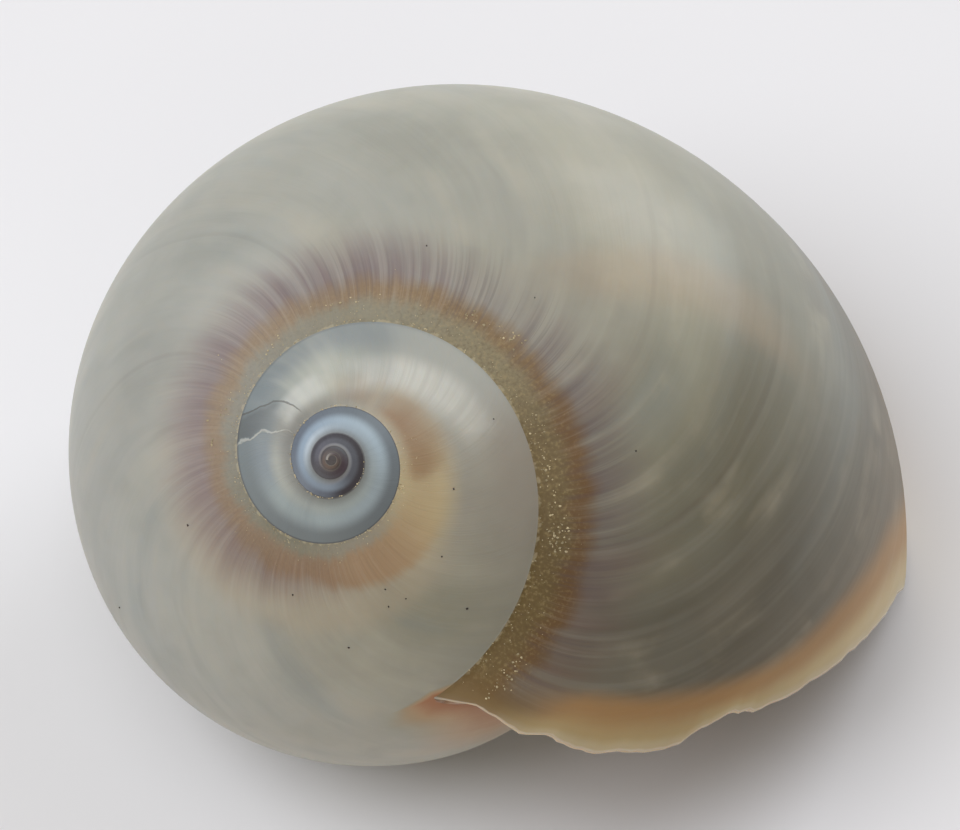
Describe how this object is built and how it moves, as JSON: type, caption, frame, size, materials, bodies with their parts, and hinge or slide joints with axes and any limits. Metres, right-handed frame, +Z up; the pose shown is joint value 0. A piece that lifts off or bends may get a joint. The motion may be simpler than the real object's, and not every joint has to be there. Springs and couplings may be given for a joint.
{
  "type": "moon snail shell",
  "caption": "Low rounded spiral sea shell of a moon snail, a smooth right-handed coil with a wide half-moon mouth, a thin chipped lip and a half-covered umbilicus.",
  "frame": {"origin": "centre of the bounding box, on the surface that the shell rests on", "axes": "+Z up with the shell lying on its mouth, spire up; +X along the longest extent; the spire leans towards -Y, and the mouth opens down and to +X"},
  "size_m": [0.0512, 0.0468, 0.0313],
  "materials": {
    "shell": "satin, slightly pearly",
    "sand": "rough grains"
  },
  "bodies": {
    "root": {"shell": "shell"}
  },
  "joints": []
}
